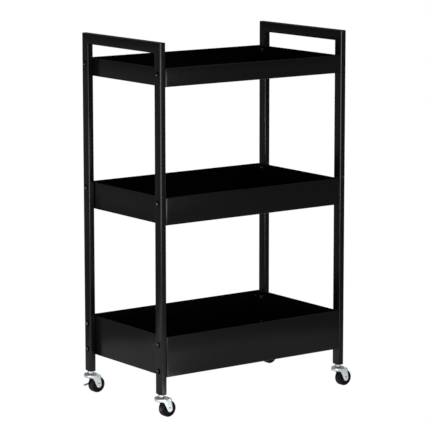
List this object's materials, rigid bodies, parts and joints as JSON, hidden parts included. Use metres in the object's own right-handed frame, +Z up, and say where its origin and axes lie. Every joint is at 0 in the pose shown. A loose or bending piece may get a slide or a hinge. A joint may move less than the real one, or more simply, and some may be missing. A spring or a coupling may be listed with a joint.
{
  "type": "rolling tray cart",
  "caption": "Rolling cart with solid sheet-steel trays of growing depth between rectangular-tube end frames, on small swivel casters.",
  "frame": {"origin": "on the floor, under the middle of the cart's overall box with its casters trailing towards +X; the frame's own middle is 12.1 mm to -X and 2.9 mm to -Y of it", "axes": "+X along the length towards the right end frame, -Y the front, +Z up from the floor"},
  "size_m": [0.5453, 0.3148, 0.822],
  "materials": {
    "black_coat": "fine satin powder coat",
    "black_screw": "black oxide, low gloss",
    "black_plastic": "moulded",
    "wheel_plastic": "moulded, scuffed tread",
    "zinc_plate": "bright blue-white zinc plating",
    "plain_steel": "plain pressed steel",
    "ball_steel": "polished balls"
  },
  "bodies": {
    "cart_frame": {"upper_frame_left": "black_coat", "upper_frame_right": "black_coat", "leg_front_left": "black_coat", "leg_front_right": "black_coat", "leg_rear_left": "black_coat", "leg_rear_right": "black_coat", "post_spigots": "plain_steel", "post_plugs": "black_plastic", "plug_inserts": "plain_steel", "top_tray": "black_coat", "middle_tray": "black_coat", "bottom_tray": "black_coat", "top_tray_screws": "black_screw", "middle_tray_screws": "black_screw", "bottom_tray_screws": "black_screw", "top_tray_nuts": "zinc_plate", "middle_tray_nuts": "zinc_plate", "bottom_tray_nuts": "zinc_plate", "stem_front_left": "zinc_plate", "stem_front_right": "zinc_plate", "stem_rear_left": "zinc_plate", "stem_rear_right": "zinc_plate", "race_front_left": "plain_steel", "race_front_right": "plain_steel", "race_rear_left": "plain_steel", "race_rear_right": "plain_steel", "balls_front_left": "ball_steel", "balls_front_right": "ball_steel", "balls_rear_left": "ball_steel", "balls_rear_right": "ball_steel"},
    "caster_front_left": {"fork_front_left": "zinc_plate", "axle_front_left": "zinc_plate"},
    "wheel_front_left": {"wheel_front_left": "wheel_plastic"},
    "caster_front_right": {"fork_front_right": "zinc_plate", "axle_front_right": "zinc_plate"},
    "wheel_front_right": {"wheel_front_right": "wheel_plastic"},
    "caster_rear_left": {"fork_rear_left": "zinc_plate", "axle_rear_left": "zinc_plate"},
    "wheel_rear_left": {"wheel_rear_left": "wheel_plastic"},
    "brake_rear_left": {"brake_lever_rear_left": "zinc_plate"},
    "caster_rear_right": {"fork_rear_right": "zinc_plate", "axle_rear_right": "zinc_plate"},
    "wheel_rear_right": {"wheel_rear_right": "wheel_plastic"},
    "brake_rear_right": {"brake_lever_rear_right": "zinc_plate"}
  },
  "joints": [
    {"name": "swivel_front_left", "type": "hinge", "parent": "cart_frame", "child": "caster_front_left", "pos_m": [-0.2601, -0.14342, 0.0426], "axis": [0, 0, 1], "continuous": true},
    {"name": "roll_front_left", "type": "hinge", "parent": "caster_front_left", "child": "wheel_front_left", "pos_m": [-0.2446, -0.14342, 0.0185], "axis": [0, 1, 0], "continuous": true},
    {"name": "swivel_front_right", "type": "hinge", "parent": "cart_frame", "child": "caster_front_right", "pos_m": [0.2359, -0.14342, 0.0426], "axis": [0, 0, 1], "continuous": true},
    {"name": "roll_front_right", "type": "hinge", "parent": "caster_front_right", "child": "wheel_front_right", "pos_m": [0.2514, -0.14342, 0.0185], "axis": [0, 1, 0], "continuous": true},
    {"name": "swivel_rear_left", "type": "hinge", "parent": "cart_frame", "child": "caster_rear_left", "pos_m": [-0.2601, 0.13758, 0.0426], "axis": [0, 0, 1], "continuous": true},
    {"name": "roll_rear_left", "type": "hinge", "parent": "caster_rear_left", "child": "wheel_rear_left", "pos_m": [-0.2446, 0.13758, 0.0185], "axis": [0, 1, 0], "continuous": true},
    {"name": "brake_rear_left", "type": "hinge", "parent": "caster_rear_left", "child": "brake_rear_left", "pos_m": [-0.2446, 0.13758, 0.0185], "axis": [0, 1, 0], "range_deg": [-20, 0]},
    {"name": "swivel_rear_right", "type": "hinge", "parent": "cart_frame", "child": "caster_rear_right", "pos_m": [0.2359, 0.13758, 0.0426], "axis": [0, 0, 1], "continuous": true},
    {"name": "roll_rear_right", "type": "hinge", "parent": "caster_rear_right", "child": "wheel_rear_right", "pos_m": [0.2514, 0.13758, 0.0185], "axis": [0, 1, 0], "continuous": true},
    {"name": "brake_rear_right", "type": "hinge", "parent": "caster_rear_right", "child": "brake_rear_right", "pos_m": [0.2514, 0.13758, 0.0185], "axis": [0, 1, 0], "range_deg": [-20, 0]}
  ]
}
